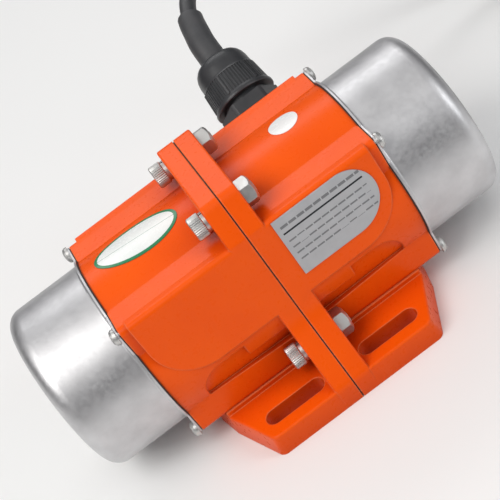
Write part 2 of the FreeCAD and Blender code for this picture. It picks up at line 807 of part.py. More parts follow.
# The cable's way after its sleeve: across and back from the gland, and the share of its height
# above the top turn of the coil. It rises a little, then comes down behind the motor.
FALL = [(9.6, 71.6, 1.023), (18.7, 84.0, 1.002), (30.3, 92.7, 0.948), (43.5, 96.5, 0.874),
        (74.0, 94.5, 0.611), (95.0, 90.5, 0.425), (117.0, 87.5, 0.249), (140.0, 82.5, 0.110),
        (164.0, 76.0, 0.027), (187.0, 69.5, 0.001)]
COIL_OFFSET = Vector(199.0, 20.5, 0)
COIL_ENTRY = 75.0           # degrees round the coil where the cable joins it, turning clockwise


def coil_middle():
    origin = gland_frame()[0]
    return Vector(origin.x, origin.y, 0) + COIL_OFFSET


def sleeve_points():
    return [on_gland(sleeve_start), on_gland(gland_nut_end + sleeve_straight),
            gland_frame()[0] + sleeve_tip_offset]


def route():
    """Every point of the cable's way from the gland to its coil."""
    origin = gland_frame()[0]
    points = sleeve_points()
    top_turn = coil_height - cable_radius
    drop = points[-1].z - top_turn
    points += [Vector(origin.x + x, origin.y + y, top_turn + share * drop) for x, y, share in FALL]
    entry = math.radians(COIL_ENTRY)
    points.append(coil_middle() + Vector(coil_radius * math.cos(entry), coil_radius * math.sin(entry), top_turn))
    return points


def swept(points, radius, name):
    """Round bar along straight runs joined by tangent arcs."""
    edges, radii = [], []
    last = points[0]
    for index in range(1, len(points) - 1):
        here = points[index]
        back = points[index - 1] - here
        ahead = points[index + 1] - here
        half_turn = (math.pi - back.getAngle(ahead)) / 2
        reach = 0.45 * min(back.Length, ahead.Length)
        arc_radius = reach / math.tan(half_turn)
        radii.append(round(arc_radius, 1))
        back.normalize()
        ahead.normalize()
        first, second = here + back * reach, here + ahead * reach
        inward = back + ahead
        inward.normalize()
        middle = here + inward * (arc_radius / math.cos(half_turn) - arc_radius)
        edges.append(Part.LineSegment(last, first).toShape())
        edges.append(Part.Arc(first, middle, second).toShape())
        last = second
    edges.append(Part.LineSegment(last, points[-1]).toShape())
    path = Part.Wire(edges)
    section = Part.Wire([Part.makeCircle(radius, points[0], points[1] - points[0])])
    solid = path.makePipeShell([section], True, True)
    print(name, "radii", radii, "length", round(path.Length))
    print(name, "volume", round(solid.Volume), "section times length", round(path.Length * math.pi * radius ** 2))
    return solid


def sleeve():
    points = sleeve_points()
    return swept(points, sleeve_radius, "sleeve").cut(swept(points, cable_radius + sleeve_gap, "sleeve bore"))


def tail_start():
    """Where the cable leaves the lowest outer turn of its coil, along -X."""
    return coil_middle() + Vector(0, -coil_radius - cable_radius, cable_radius)


def cable_tail_end():
    return Part.makeCylinder(cable_radius, cable_tail, tail_start(), -ALONG)


def cable_coil(cable):
    """Space that the wound turns take, with the cable running in and out of it."""
    inner = coil_radius - coil_width / 2
    solid = Part.makeCylinder(inner + coil_width, coil_height).cut(Part.makeCylinder(inner, coil_height))
    solid = softened(solid, coil_edge, lambda box: box.ZLength < fit)
    solid.translate(coil_middle())
    return without(solid, [cable, cable_tail_end()])


def core_places():
    start = tail_start() - ALONG * cable_tail
    angles = [math.radians(90 + 120 * index) for index in range(3)]
    return [start + Vector(0, math.cos(angle), math.sin(angle)) * core_spread for angle in angles]


def lead_cores():
    return group([Part.makeCylinder(core_radius, core_length, place, -ALONG) for place in core_places()])


def ferrules():
    return group([Part.makeCylinder(ferrule_radius, ferrule_length, place - ALONG * core_length, -ALONG)
                  for place in core_places()])


# ---------------------------------------------------------------- plate and labels

def nameplate():
    """Thin plate on the right front pad, with a rounded right end."""
    start, end = flange_face + plate_from_flange, pad_end - plate_setback
    low = -plate_drop - plate_height
    face = side_face([(start, -plate_drop, 0), (end, -plate_drop, plate_upper_round),
                      (end, low, plate_lower_round), (start, low, 0)])
    plate = face.extrude(Vector(0, -plate_thickness, 0))
    plate.Placement = Placement(AXIS + Vector(0, -pad_depth(pad_top), pad_top), Rotation(ALONG, -pad_lean))
    return plate


def label(middle_x, angle, skew, long_half, short_half):
    """Oval sticker bent round the barrel."""
    reach = long_half + overlap
    shell = ring(barrel_radius + label_thickness, barrel_radius, middle_x - reach, middle_x + reach)
    if long_half > short_half:
        outline = Part.Ellipse(Vector(0, 0, 0), long_half, short_half)
    else:
        outline = Part.Circle(Vector(0, 0, 0), UP, long_half)
    prism = Part.Face(Part.Wire([outline.toShape()])).extrude(UP * (barrel_radius * 2))
    turn = Rotation(ALONG, angle - 90).multiply(Rotation(UP, skew))
    prism.Placement = Placement(AXIS + Vector(middle_x, 0, 0), turn)
    return shell.common(prism)


def pairs():
    """Pieces that are the same on both ends, as they are on the right one."""
    outer, inner = bearing_rings()
    return {"cover_gasket": cover_gasket(), "end_cover": end_cover(),
            "cover_screws": group([cover_screw_at(y, z) for y, z in screw_places()]),
            "end_winding": end_winding(), "bearing_outer_ring": outer, "bearing_inner_ring": inner,
            "bearing_balls": group(bearing_balls()), "shaft_seal": shaft_seal(), "weight_key": weight_key(),
            "fixed_weight": eccentric(weight_start, True), "fixed_weight_screw": clamp_screw(weight_start),
            "adjustable_weight": eccentric(second_weight_start, False),
            "adjustable_weight_screw": clamp_screw(second_weight_start), "circlip": circlip()}


def singles():
    cable = swept(route(), cable_radius, "cable")
    return {"right_housing": casting(True), "left_housing": mirrored(casting(False)),
            "joint_gasket": joint_gasket(),
            "flange_screws": group([flange_screw(y, z) for y, z in bolt_places()]),
            "flange_spring_washers": group([spring_washer(y, z) for y, z in bolt_places()]),
            "flange_nuts": group([flange_nut(y, z) for y, z in bolt_places()]),
            "wave_washer": wave_washer(), "stator_core": stator_core(), "rotor_core": rotor_core(),
            "rotor_end_rings": rotor_end_rings(), "shaft": shaft(), "gland_gasket": gland_gasket(),
            "gland_body": gland_body(), "gland_nut": gland_nut(), "gland_seal": gland_seal(),
            "cable_sleeve": sleeve(), "cable_inner_end": cable_inner_end(), "cable": cable,
            "cable_coil": cable_coil(cable), "cable_tail": cable_tail_end(), "lead_cores": lead_cores(),
            "ferrules": ferrules(), "nameplate": nameplate(),
            "oval_label": label(oval_setback - casting_end, oval_angle, oval_skew, oval_length / 2,
                                oval_width / 2),
            "round_label": label(casting_end - round_label_setback, round_label_angle, 0,
                                 round_label_radius, round_label_radius)}


def main():
    os.makedirs("parts", exist_ok=True)
    for name, shape in singles().items():
        save(name, shape)
    for name, shape in pairs().items():
        save("right_" + name, shape)
        save("left_" + name, mirrored(shape))


main()
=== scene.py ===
import bpy
import json
import math
from mathutils import Matrix, Vector


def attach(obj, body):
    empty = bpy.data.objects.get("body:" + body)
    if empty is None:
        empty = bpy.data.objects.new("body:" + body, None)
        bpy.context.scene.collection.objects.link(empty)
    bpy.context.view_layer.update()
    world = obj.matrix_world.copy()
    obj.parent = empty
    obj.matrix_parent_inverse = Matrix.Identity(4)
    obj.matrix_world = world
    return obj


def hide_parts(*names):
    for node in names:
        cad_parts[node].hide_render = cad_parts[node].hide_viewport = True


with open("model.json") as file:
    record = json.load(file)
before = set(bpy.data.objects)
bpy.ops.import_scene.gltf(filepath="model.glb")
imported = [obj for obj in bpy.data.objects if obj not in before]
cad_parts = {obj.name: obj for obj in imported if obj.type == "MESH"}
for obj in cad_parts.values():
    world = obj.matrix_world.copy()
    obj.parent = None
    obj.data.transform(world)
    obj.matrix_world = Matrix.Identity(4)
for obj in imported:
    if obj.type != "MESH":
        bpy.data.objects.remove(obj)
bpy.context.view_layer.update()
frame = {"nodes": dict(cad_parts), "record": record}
nodes = frame["nodes"]
scene = bpy.context.scene
print("frame loaded:", len(nodes), "nodes")


# ---- camera, floor and lamps

cameraSettings = {
    "place": (-0.009321, -0.497611, 0.453536),
    "right": (0.79955, -0.38436, -0.46155),
    "up": (0.60050, 0.49559, 0.62755),
    "back": (-0.01246, -0.77889, 0.62703),
    "lens": 98.77,
    "sensor": 36.0,
    "clip": (0.01, 20.0),
}

studio = {
    "floorSize": 6.0,
    "floorColour": (0.86, 0.86, 0.855),
    "floorRoughness": 0.85,
    "sky": [                # height on the sky, from 0 to 1, and colour
        (0.0, (0.05, 0.05, 0.055)), (0.35, (0.22, 0.22, 0.23)),
        (0.62, (0.80, 0.80, 0.81)), (0.95, (1.0, 1.0, 1.0)),
    ],
    "skyStrength": 0.62,
    "lamps": [
        # name, place, size, power, colour
        ("keyLamp", (-0.55, -0.35, 0.95), (0.75, 0.75), 7.4, (1.0, 0.985, 0.96)),
        ("sideLamp", (0.85, -0.55, 0.55), (0.35, 0.80), 3.0, (0.97, 0.985, 1.0)),
        ("backLamp", (0.15, 0.85, 0.80), (0.90, 0.35), 2.6, (1.0, 1.0, 1.0)),
    ],
    "target": (0.0, 0.0, 0.05),
}


def addCamera(settings):
    data = bpy.data.cameras.new("camera")
    data.lens = settings["lens"]
    data.sensor_width = settings["sensor"]
    data.clip_start, data.clip_end = settings["clip"]
    camera = bpy.data.objects.new("camera", data)
    scene.collection.objects.link(camera)
    turn = Matrix((settings["right"], settings["up"], settings["back"])).transposed()
    camera.matrix_world = Matrix.Translation(settings["place"]) @ turn.to_4x4()
    scene.camera = camera


def addFloor(s):
    bpy.ops.object.select_all(action="DESELECT")
    bpy.ops.mesh.primitive_plane_add(size=s["floorSize"], location=(0, 0, 0))
    floor = bpy.context.active_object
    floor.name = "studioFloor"
    material = bpy.data.materials.new("floorPaper")
    material.use_nodes = True
    shader = material.node_tree.nodes["Principled BSDF"]
    shader.inputs["Base Color"].default_value = (*s["floorColour"], 1)
    shader.inputs["Roughness"].default_value = s["floorRoughness"]
    floor.data.materials.append(material)


def addLamps(s):
    for name, place, size, power, colour in s["lamps"]:
        data = bpy.data.lights.new(name, "AREA")
        data.shape = "RECTANGLE"
        data.size, data.size_y = size
        data.energy = power
        data.color = colour
        lamp = bpy.data.objects.new(name, data)
        scene.collection.objects.link(lamp)
        aim = (Vector(s["target"]) - Vector(place)).to_track_quat("-Z", "Y")
        lamp.matrix_world = Matrix.Translation(place) @ aim.to_matrix().to_4x4()


def addSky(s):
    world = bpy.data.worlds.new("studioSky")
    world.use_nodes = True
    scene.world = world
    tree = world.node_tree
    background = tree.nodes["Background"]
    background.inputs["Strength"].default_value = s["skyStrength"]
    place = tree.nodes.new("ShaderNodeTexCoord")
    split = tree.nodes.new("ShaderNodeSeparateXYZ")
    ramp = tree.nodes.new("ShaderNodeValToRGB")
    stops = ramp.color_ramp.elements
    while len(stops) < len(s["sky"]):
        stops.new(0.5)
    for stop, (position, colour) in zip(stops, s["sky"]):
        stop.position = position
        stop.color = (*colour, 1)
    tree.links.new(place.outputs["Generated"], split.inputs[0])
    tree.links.new(split.outputs["Z"], ramp.inputs["Fac"])
    tree.links.new(ramp.outputs["Color"], background.inputs["Color"])


addCamera(cameraSettings)
addFloor(studio)
addLamps(studio)
addSky(studio)
scene.view_settings.view_transform = "Standard"
print("camera, floor and lamps placed")


# ---- shader groups that several finishes share

shaderFacts = {
    "mottleDetail": 4.0,
    "brushDetail": 3.0,
    "brushDraw": 0.04,      # how far the lines are drawn out round the shaft
    "brushMottle": 0.4,     # how much of the mottle stays in a brushed surface
    "cloudEnds": (0.3, 0.7),  # the part of the noise that is spread over a range
    "bumpStrength": 0.6,
    "samples": 6,           # of a rounded edge or a hollow
}


def newGroup(name, inputs, outputs):
    group = bpy.data.node_groups.new(name, "ShaderNodeTree")
    for label, kind, value in inputs:
        socket = group.interface.new_socket(name=label, in_out="INPUT", socket_type=kind)
        socket.default_value = value
    for label, kind in outputs:
        group.interface.new_socket(name=label, in_out="OUTPUT", socket_type=kind)
    return group, group.nodes.new("NodeGroupInput"), group.nodes.new("NodeGroupOutput")


def addMath(tree, operation, first, second=None):
    node = tree.nodes.new("ShaderNodeMath")
    node.operation = operation
    for socket, value in zip(node.inputs, (first, second)):
        if value is None:
            continue
        if isinstance(value, (int, float)):
            socket.default_value = value
        else:
            tree.links.new(value, socket)
    return node.outputs[0]


def mottleGroup():
    # cloudy unevenness, from 0 to 1, at two sizes
    inputs = [("Scale", "NodeSocketFloat", 60.0), ("Fine", "NodeSocketFloat", 4.0)]
    outputs = [("Broad", "NodeSocketFloat"), ("Fine", "NodeSocketFloat")]
    group, source, result = newGroup("mottle", inputs, outputs)
    place = group.nodes.new("ShaderNodeTexCoord")
    fineScale = addMath(group, "MULTIPLY", source.outputs["Scale"], source.outputs["Fine"])
    for scale, label in ((source.outputs["Scale"], "Broad"), (fineScale, "Fine")):
        noise = group.nodes.new("ShaderNodeTexNoise")
        noise.inputs["Detail"].default_value = shaderFacts["mottleDetail"]
        group.links.new(place.outputs["Object"], noise.inputs["Vector"])
        group.links.new(scale, noise.inputs["Scale"])
        group.links.new(noise.outputs["Fac"], result.inputs[label])
    return group


def brushGroup():
    # fine lines drawn round the shaft, as turning or polishing leaves them
    group, source, result = newGroup("brushLines", [("Scale", "NodeSocketFloat", 900.0)],
                                     [("Lines", "NodeSocketFloat")])
    place = group.nodes.new("ShaderNodeTexCoord")
    split = group.nodes.new("ShaderNodeSeparateXYZ")
    join = group.nodes.new("ShaderNodeCombineXYZ")
    noise = group.nodes.new("ShaderNodeTexNoise")
    noise.inputs["Detail"].default_value = shaderFacts["brushDetail"]
    group.links.new(place.outputs["Object"], split.inputs[0])
    group.links.new(split.outputs["X"], join.inputs["X"])
    for axis in ("Y", "Z"):
        drawnOut = addMath(group, "MULTIPLY", split.outputs[axis], shaderFacts["brushDraw"])
        group.links.new(drawnOut, join.inputs[axis])
    group.links.new(join.outputs[0], noise.inputs["Vector"])
    group.links.new(source.outputs["Scale"], noise.inputs["Scale"])
    group.links.new(noise.outputs["Fac"], result.inputs["Lines"])
    return group


mottle = mottleGroup()
brushLines = brushGroup()


def useGroup(tree, group, **values):
    node = tree.nodes.new("ShaderNodeGroup")
    node.node_tree = group
    for name, value in values.items():
        node.inputs[name].default_value = value
    return node


def mixColours(tree, share, first, second):
    node = tree.nodes.new("ShaderNodeMix")
    node.data_type = "RGBA"
    ends = ((node.inputs[0], share), (node.inputs[6], first), (node.inputs[7], second))
    for socket, value in ends:
        if isinstance(value, (int, float)):
            socket.default_value = value
        elif isinstance(value, tuple):
            socket.default_value = (*value, 1)
        else:
            tree.links.new(value, socket)
    return node.outputs[2]


def spread(tree, value, low, high):
    node = tree.nodes.new("ShaderNodeMapRange")
    node.inputs["From Min"].default_value = shaderFacts["cloudEnds"][0]
    node.inputs["From Max"].default_value = shaderFacts["cloudEnds"][1]
    node.inputs["To Min"].default_value = low
    node.inputs["To Max"].default_value = high
    tree.links.new(value, node.inputs["Value"])
    return node.outputs[0]


# ---- finishes

finishes = {
    # scale: how small the mottle is; fine: how many times smaller its fine part is; bump, edge and
    # the reach of the painted shade: metres; the edge tint is a painted highlight on edges; corner:
    # painted shade in a hollow
    "orangePaint": {"slot": "orange_paint", "colour": (0.90, 0.100, 0.002),
                    "second": (0.87, 0.090, 0.002), "metallic": 0.0,
                    "roughness": (0.26, 0.32), "scale": 45.0, "fine": 9.0,
                    "bump": 0.000008, "specular": 0.16, "edge": 0.0011,
                    # painted highlight: a lighter paint colour mixed in along rounded edges, where
                    # light catches them
                    "paintedHighlight": (0.98, 0.27, 0.11), "highlightShare": 2.2,
                    # painted shade: a darker paint colour mixed in where ambient occlusion finds a
                    # hollow
                    "corner": (0.40, 0.022, 0.002), "cornerReach": 0.016, "cornerShare": 0.75},
    "satinStainless": {"slot": "brushed_stainless", "colour": (0.66, 0.655, 0.665),
                       "second": (0.55, 0.545, 0.555), "metallic": 1.0,
                       "roughness": (0.40, 0.50), "scale": 70.0, "fine": 6.0,
                       "bump": 0.00002, "brush": 700.0, "edge": 0.0003},
    "brightSteel": {"slot": "bright_fastener", "colour": (0.62, 0.615, 0.60),
                    "second": (0.57, 0.565, 0.55), "metallic": 1.0,
                    "roughness": (0.38, 0.46), "scale": 160.0, "fine": 5.0,
                    "bump": 0.000005, "edge": 0.0002},
    "blackGasket": {"slot": "black_gasket", "colour": (0.020, 0.020, 0.021),
                    "second": (0.032, 0.031, 0.031), "metallic": 0.0,
                    "roughness": (0.62, 0.78), "scale": 260.0, "fine": 5.0, "bump": 0.00005},
    "copperWinding": {"slot": "copper_winding", "colour": (0.62, 0.26, 0.10),
                      "second": (0.45, 0.17, 0.06), "metallic": 0.9,
                      "roughness": (0.26, 0.40), "scale": 300.0, "fine": 4.0, "bump": 0.00020},
    "bearingSteel": {"slot": "bearing_steel", "colour": (0.62, 0.62, 0.64),
                     "second": (0.55, 0.55, 0.57), "metallic": 1.0,
                     "roughness": (0.14, 0.24), "scale": 120.0, "fine": 6.0,
                     "bump": 0.00001, "brush": 1100.0},
    "coreSteel": {"slot": "core_steel", "colour": (0.24, 0.25, 0.27),
                  "second": (0.17, 0.17, 0.18), "metallic": 0.9,
                  "roughness": (0.35, 0.50), "scale": 90.0, "fine": 5.0,
                  "bump": 0.00010, "brush": 1500.0},
    "castAluminium": {"slot": "cast_aluminium", "colour": (0.66, 0.67, 0.68),
                      "second": (0.55, 0.56, 0.57), "metallic": 1.0,
                      "roughness": (0.42, 0.55), "scale": 160.0, "fine": 5.0, "bump": 0.00010},
    "weightIron": {"slot": "weight_iron", "colour": (0.13, 0.13, 0.135),
                   "second": (0.19, 0.185, 0.18), "metallic": 0.8,
                   "roughness": (0.42, 0.58), "scale": 140.0, "fine": 5.0, "bump": 0.00012},
    "blackNylon": {"slot": "black_nylon", "colour": (0.026, 0.027, 0.030),
                   "second": (0.034, 0.035, 0.038), "metallic": 0.0,
                   "roughness": (0.32, 0.44), "scale": 240.0, "fine": 4.0, "bump": 0.00003,
                   "edge": 0.0004},
    "blackSleeve": {"slot": "black_sleeve", "colour": (0.045, 0.046, 0.050),
                    "second": (0.062, 0.061, 0.064), "metallic": 0.0,
                    "roughness": (0.44, 0.58), "scale": 130.0, "fine": 6.0, "bump": 0.00008},
    "blackCable": {"slot": "black_cable", "colour": (0.034, 0.035, 0.038),
                   "second": (0.046, 0.046, 0.049), "metallic": 0.0,
                   "roughness": (0.42, 0.54), "scale": 150.0, "fine": 6.0, "bump": 0.00005},
    "coreInsulation": {"slot": "core_insulation", "colour": (0.26, 0.13, 0.06),
                       "second": (0.20, 0.10, 0.05), "metallic": 0.0,
                       "roughness": (0.30, 0.40), "scale": 300.0, "fine": 4.0, "bump": 0.00002},
    "tinnedCopper": {"slot": "tinned_copper", "colour": (0.74, 0.73, 0.70),
                     "second": (0.60, 0.59, 0.56), "metallic": 1.0,
                     "roughness": (0.24, 0.36), "scale": 500.0, "fine": 4.0, "bump": 0.00003},
}


def roundEdges(tree, radius):
    # the normal of the surface as if its edges were rounded
    node = tree.nodes.new("ShaderNodeBevel")
    node.samples = shaderFacts["samples"]
    node.inputs["Radius"].default_value = radius
    return node.outputs["Normal"]


def edgeShare(tree, rounded, share):
    # how near a place is to an edge: the turn from the plain normal to the rounded one
    plain = tree.nodes.new("ShaderNodeNewGeometry")
    likeness = tree.nodes.new("ShaderNodeVectorMath")
    likeness.operation = "DOT_PRODUCT"
    tree.links.new(rounded, likeness.inputs[0])
    tree.links.new(plain.outputs["Normal"], likeness.inputs[1])
    turned = addMath(tree, "SUBTRACT", 1.0, likeness.outputs["Value"])
    return addMath(tree, "MINIMUM", addMath(tree, "MULTIPLY", turned, share), 1.0)


def hollows(tree, reach, share):
    # how closed in a place is, by ambient occlusion; it paints shade into hollows
    node = tree.nodes.new("ShaderNodeAmbientOcclusion")
    node.samples = shaderFacts["samples"]
    node.inputs["Distance"].default_value = reach
    closed = addMath(tree, "SUBTRACT", 1.0, node.outputs["AO"])
    return addMath(tree, "MULTIPLY", closed, share)


def surface(tree, f):
    # the part of a finish that all of them share: uneven colour, uneven gloss and a fine bump
    shader = tree.nodes["Principled BSDF"]
    cloud = useGroup(tree, mottle, Scale=f["scale"], Fine=f["fine"])
    broad = spread(tree, cloud.outputs["Broad"], 0.0, 1.0)
    height = cloud.outputs["Fine"]
    if "brush" in f:
        lines = useGroup(tree, brushLines, Scale=f["brush"])
        height = addMath(tree, "MULTIPLY", height, shaderFacts["brushMottle"])
        height = addMath(tree, "ADD", height, lines.outputs["Lines"])
    colour = mixColours(tree, broad, f["colour"], f["second"])
    rounded = roundEdges(tree, f["edge"]) if "edge" in f else None
    # painted shade: the colour is made darker in hollows found by ambient occlusion
    if "corner" in f:
        closed = hollows(tree, f["cornerReach"], f["cornerShare"])
        colour = mixColours(tree, closed, colour, f["corner"])
    # painted highlight: the colour is made lighter along rounded edges
    if "paintedHighlight" in f:
        near = edgeShare(tree, rounded, f["highlightShare"])
        colour = mixColours(tree, near, colour, f["paintedHighlight"])
    tree.links.new(colour, shader.inputs["Base Color"])
    low, high = f["roughness"]
    tree.links.new(spread(tree, cloud.outputs["Fine"], low, high), shader.inputs["Roughness"])
    bump = tree.nodes.new("ShaderNodeBump")
    bump.inputs["Strength"].default_value = shaderFacts["bumpStrength"]
    bump.inputs["Distance"].default_value = f["bump"]
    tree.links.new(height, bump.inputs["Height"])
    if rounded:
        tree.links.new(rounded, bump.inputs["Normal"])
    tree.links.new(bump.outputs["Normal"], shader.inputs["Normal"])
    shader.inputs["Metallic"].default_value = f["metallic"]
    if "specular" in f:
        shader.inputs["Specular IOR Level"].default_value = f["specular"]
    return shader


def newMaterial(name):
    material = bpy.data.materials.new(name)
    material.use_nodes = True
    return material


def makeFinish(name, f):
    material = newMaterial(name)
    surface(material.node_tree, f)
    return material


materials = {name: makeFinish(name, finish) for name, finish in finishes.items()}


def dress(piece, material):
    piece.data.materials.clear()
    piece.data.materials.append(material)


# ---- printed plate and stickers

plateLook = {
    "origin": (0.0, -0.03961, 0.0913),  # upper edge of the pad
    "lean": 7.5,                     # degrees that the plate leans outward at the bottom
    "metal": {"colour": (0.46, 0.465, 0.48), "second": (0.42, 0.425, 0.44), "metallic": 0.55,
              "roughness": (0.34, 0.44), "scale": 160.0, "fine": 6.0, "bump": 0.00002},
    "ink": (0.022, 0.023, 0.027),
    "inkShare": 0.6,                 # how dark the rows are beside the rule
    "start": 0.0135, "end": 0.0555,  # along the shaft
    "rule": (0.0098, 0.00045),       # below the top of the pad, and how wide
    "rows": [(0.0064, 0.00070), (0.0142, 0.00042), (0.0178, 0.00042), (0.0214, 0.00042),
             (0.0250, 0.00042)],
    "wordWidth": 0.0044, "rowPitch": 0.0036,
    "gap": 0.14, "missing": 0.10,    # share of a word that is a gap, share of words left out
}

ovalLook = {
    "middle": (-0.0397, 0.0, 0.052),
    "angle": 87.5, "skew": -7.8,
    "half": (0.022, 0.0115),
    "border": 0.0016,
    "film": {"colour": (0.84, 0.86, 0.84), "second": (0.80, 0.83, 0.81), "metallic": 0.0,
             "roughness": (0.22, 0.30), "scale": 90.0, "fine": 6.0, "bump": 0.00001},
    "green": (0.010, 0.21, 0.085),
    "ink": (0.10, 0.24, 0.16),
    "line": 0.00018,        # half the width of the line through the middle
    "lineShare": 0.7,
}

roundLook = {
    "film": {"colour": (0.86, 0.86, 0.85), "second": (0.82, 0.82, 0.81), "metallic": 0.0,
             "roughness": (0.22, 0.30), "scale": 90.0, "fine": 6.0, "bump": 0.00001},
}


def objectPlace(tree, turn, origin):
    # object coordinates, moved to an origin and turned
    place = tree.nodes.new("ShaderNodeTexCoord")
    shift = tree.nodes.new("ShaderNodeVectorMath")
    shift.operation = "SUBTRACT"
    shift.inputs[1].default_value = origin
    mapping = tree.nodes.new("ShaderNodeMapping")
    mapping.vector_type = "POINT"
    mapping.inputs["Rotation"].default_value = turn
    split = tree.nodes.new("ShaderNodeSeparateXYZ")
    tree.links.new(place.outputs["Object"], shift.inputs[0])
    tree.links.new(shift.outputs[0], mapping.inputs["Vector"])
    tree.links.new(mapping.outputs[0], split.inputs[0])
    return split.outputs


def band(tree, value, middle, half):
    away = addMath(tree, "ABSOLUTE", addMath(tree, "SUBTRACT", value, middle))
    return addMath(tree, "LESS_THAN", away, half)


def makePlate(p):
    material = newMaterial("printedPlate")
    tree = material.node_tree
    shader = surface(tree, p["metal"])
    along, _, up = objectPlace(tree, (math.radians(p["lean"]), 0, 0), p["origin"])
    below = addMath(tree, "MULTIPLY", up, -1.0)
    inside = band(tree, along, (p["start"] + p["end"]) / 2, (p["end"] - p["start"]) / 2)
    cells = tree.nodes.new("ShaderNodeTexWhiteNoise")
    cells.noise_dimensions = "2D"
    column = addMath(tree, "FLOOR", addMath(tree, "DIVIDE", along, p["wordWidth"]))
    where = tree.nodes.new("ShaderNodeCombineXYZ")
    tree.links.new(column, where.inputs["X"])
    line = addMath(tree, "FLOOR", addMath(tree, "DIVIDE", below, p["rowPitch"]))
    tree.links.new(line, where.inputs["Y"])
    tree.links.new(where.outputs[0], cells.inputs["Vector"])
    drawn = addMath(tree, "GREATER_THAN", cells.outputs["Value"], p["missing"])
    share = addMath(tree, "FRACT", addMath(tree, "DIVIDE", along, p["wordWidth"]))
    dash = addMath(tree, "MULTIPLY", drawn, addMath(tree, "GREATER_THAN", share, p["gap"]))
    rows = None
    for middle, half in p["rows"]:
        row = band(tree, below, middle, half)
        rows = row if rows is None else addMath(tree, "ADD", rows, row)
    rule = band(tree, below, *p["rule"])
    ink = addMath(tree, "MULTIPLY", addMath(tree, "MULTIPLY", rows, dash), p["inkShare"])
    ink = addMath(tree, "MULTIPLY", addMath(tree, "MAXIMUM", ink, rule), inside)
    base = shader.inputs["Base Color"].links[0].from_socket
    tree.links.new(mixColours(tree, ink, base, p["ink"]), shader.inputs["Base Color"])
    return material


def makeOval(o):
    material = newMaterial("ovalSticker")
    tree = material.node_tree
    shader = surface(tree, o["film"])
    turn = (math.radians(90 - o["angle"]), 0, 0)
    along, across, _ = objectPlace(tree, turn, o["middle"])
    skew = math.radians(o["skew"])
    first = addMath(tree, "ADD", addMath(tree, "MULTIPLY", along, math.cos(skew)),
                    addMath(tree, "MULTIPLY", across, math.sin(skew)))
    second = addMath(tree, "SUBTRACT", addMath(tree, "MULTIPLY", across, math.cos(skew)),
                     addMath(tree, "MULTIPLY", along, math.sin(skew)))
    long, short = (half - o["border"] for half in o["half"])
    squares = addMath(tree, "ADD", addMath(tree, "POWER", addMath(tree, "DIVIDE", first, long), 2.0),
                      addMath(tree, "POWER", addMath(tree, "DIVIDE", second, short), 2.0))
    border = addMath(tree, "GREATER_THAN", squares, 1.0)
    line = addMath(tree, "MULTIPLY", band(tree, second, 0.0, o["line"]), o["lineShare"])
    base = shader.inputs["Base Color"].links[0].from_socket
    lined = mixColours(tree, line, base, o["ink"])
    tree.links.new(mixColours(tree, border, lined, o["green"]), shader.inputs["Base Color"])
    return material


def dressNodes():
    bySlot = {finish["slot"]: materials[name] for name, finish in finishes.items()}
    bySlot["plate_metal"] = makePlate(plateLook)
    bySlot["label_white"] = makeFinish("roundSticker", roundLook["film"])
    for row in frame["record"]["subparts"]:
        dress(nodes[row["node"]], bySlot[row["material_slot"]])
    dress(nodes["oval_label"], makeOval(ovalLook))


dressNodes()
print("finishes made")


# ---- tools that the new pieces share

def startMesh(name):
    made = bpy.context.active_object
    made.name = name
    made.data.name = name
    bpy.ops.object.mode_set(mode="EDIT")
    bpy.ops.mesh.select_all(action="SELECT")
    return made


def ringOf(name, vertices, radius, height):
    bpy.ops.object.select_all(action="DESELECT")
    bpy.ops.mesh.primitive_circle_add(vertices=vertices, radius=radius, fill_type="NOTHING",
                                      location=(0, 0, height))
    made = startMesh(name)
    bpy.ops.object.mode_set(mode="OBJECT")
    bpy.ops.object.transform_apply(location=True, rotation=True, scale=True)
    bpy.ops.object.mode_set(mode="EDIT")
    bpy.ops.mesh.select_mode(type="VERT")
    bpy.ops.mesh.select_all(action="SELECT")
    return made


def growTo(height, lastHeight, grow):
    # one step of the selected ring, up or down its axis
    rise = (0, 0, height - lastHeight)
    bpy.ops.mesh.extrude_region_move(TRANSFORM_OT_translate={"value": rise})
    bpy.ops.transform.resize(value=(grow, grow, 1), center_override=(0, 0, 0))


def drawProfile(profile):
    # the selected ring is drawn out through (height, radius) steps
    lastHeight, lastRadius = profile[0]
    for height, radius in profile[1:]:
        growTo(height, lastHeight, radius / lastRadius)
        lastHeight, lastRadius = height, radius


def closeProfile():
    # the first and the last ring are joined, so that the wall is closed all round
    bpy.ops.mesh.select_all(action="DESELECT")
    bpy.ops.mesh.select_non_manifold(extend=False, use_wire=False, use_boundary=True,
                                     use_multi_face=False, use_non_contiguous=False, use_verts=False)
    bpy.ops.mesh.bridge_edge_loops()
    bpy.ops.mesh.select_all(action="SELECT")
    bpy.ops.mesh.normals_make_consistent(inside=False)


def pickFaces(made, wanted):
    bpy.ops.mesh.select_all(action="DESELECT")
    bpy.ops.mesh.select_mode(type="FACE")
    bpy.ops.object.mode_set(mode="OBJECT")
    for face in made.data.polygons:
        face.select = wanted(face.center)
    bpy.ops.object.mode_set(mode="EDIT")


def selectOnly(made):
    bpy.ops.object.select_all(action="DESELECT")
    made.select_set(True)
    bpy.context.view_layer.objects.active = made


def applyModifiers(made):
    selectOnly(made)
    for modifier in list(made.modifiers):
        bpy.ops.object.modifier_apply(modifier=modifier.name)


def softenEdges(made, width, angle):
    soft = made.modifiers.new("soft", "BEVEL")
    soft.width = width
    soft.segments = 2
    soft.limit_method = "ANGLE"
    soft.angle_limit = math.radians(angle)
    applyModifiers(made)


def combine(made, other, operation):
    both = made.modifiers.new("combine", "BOOLEAN")
    both.operation = operation
    both.solver = "EXACT"
    both.object = other
    applyModifiers(made)
    bpy.data.objects.remove(other)


def closeEnds():
    bpy.ops.mesh.select_all(action="SELECT")
    bpy.ops.mesh.fill_holes(sides=0)
    bpy.ops.mesh.select_all(action="SELECT")
    bpy.ops.mesh.normals_make_consistent(inside=False)
    bpy.ops.object.mode_set(mode="OBJECT")


